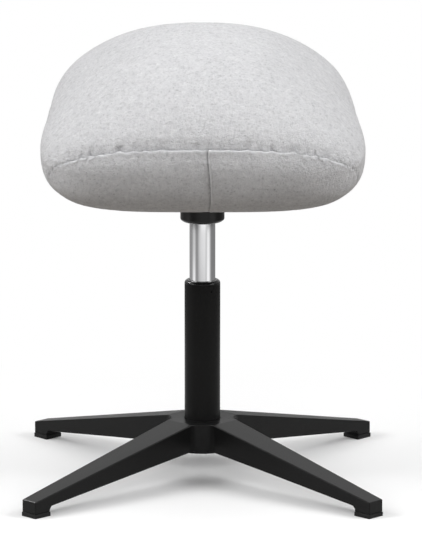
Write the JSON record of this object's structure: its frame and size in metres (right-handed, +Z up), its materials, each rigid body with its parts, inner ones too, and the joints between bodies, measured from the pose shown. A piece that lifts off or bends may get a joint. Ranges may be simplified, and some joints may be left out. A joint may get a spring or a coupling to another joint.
{
  "type": "ottoman",
  "caption": "Swivelling footstool with a tilted, crowned grey felt cushion on a height-adjustable gas column and a black star base.",
  "frame": {"origin": "on the floor under the column axis, the centre of the star base", "axes": "+Z up along the column, -Y towards the front of the cushion, its low edge, +X to the right, where the lever is"},
  "size_m": [0.4908, 0.4908, 0.6344],
  "materials": {
    "cast_black": "satin black powder coat on cast aluminium",
    "glide_black": "black nylon pad",
    "tube_black": "satin black lacquer on steel tube",
    "bush_black": "black acetal bush",
    "bearing_steel": "ground steel",
    "brass_inner": "plain brass",
    "rubber_inner": "black rubber",
    "polished_chrome": "polished chrome plate",
    "socket_steel": "zinc plated steel",
    "cap_black": "black moulded plastic",
    "plate_black": "black painted steel sheet",
    "lever_steel": "black painted steel bar",
    "grip_black": "black moulded plastic",
    "birch_ply": "raw birch plywood",
    "seat_foam": "cut foam",
    "felt_grey": "light grey melange wool felt",
    "dust_cloth": "black non-woven cloth"
  },
  "bodies": {
    "base": {"star_base": "cast_black", "glide_front_left": "glide_black", "glide_front_right": "glide_black", "glide_rear_left": "glide_black", "glide_rear_right": "glide_black", "outer_tube": "tube_black", "guide_bush": "bush_black", "thrust_washer_lower": "bearing_steel", "ball_cage": "brass_inner", "thrust_balls": "bearing_steel"},
    "rod": {"piston_rod": "bearing_steel", "thrust_washer_upper": "bearing_steel", "rubber_buffer": "rubber_inner", "piston": "brass_inner", "piston_seal": "rubber_inner", "clip_washer": "bearing_steel", "retaining_clip": "bearing_steel"},
    "seat": {"gas_cylinder": "polished_chrome", "rod_guide": "brass_inner", "rod_seal": "rubber_inner", "valve_plug": "socket_steel", "taper_socket": "socket_steel", "hub_cap": "cap_black", "mounting_plate": "plate_black", "plate_bolts": "socket_steel", "tee_nuts": "socket_steel", "lever_pin": "bearing_steel", "seat_board": "birch_ply", "foam_core": "seat_foam", "top_cover": "felt_grey", "front_cover_left": "felt_grey", "front_cover_right": "felt_grey", "rear_cover_left": "felt_grey", "rear_cover_right": "felt_grey", "dust_cover": "dust_cloth"},
    "lever": {"lever_arm": "lever_steel", "lever_grip": "grip_black"},
    "pin": {"release_pin": "bearing_steel"}
  },
  "joints": [
    {"name": "swivel", "type": "hinge", "parent": "base", "child": "rod", "pos_m": [0, 0, 0], "axis": [0, 0, 1], "continuous": true},
    {"name": "height_slide", "type": "slide", "parent": "rod", "child": "seat", "axis": [0, 0, 1], "range_m": [-0.078, 0]},
    {"name": "lever_lift", "type": "hinge", "parent": "seat", "child": "lever", "pos_m": [0.02, 0, 0.424], "axis": [0, -1, 0], "range_deg": [0, 7]},
    {"name": "pin_press", "type": "slide", "parent": "seat", "child": "pin", "axis": [0, 0, -1], "range_m": [0, 0.0026], "stiffness_N_per_m": 500, "springref_m": -0.001}
  ],
  "couplings": [
    {"joint": "pin_press", "follows": "lever_lift", "m_per_rad": 0.02}
  ]
}
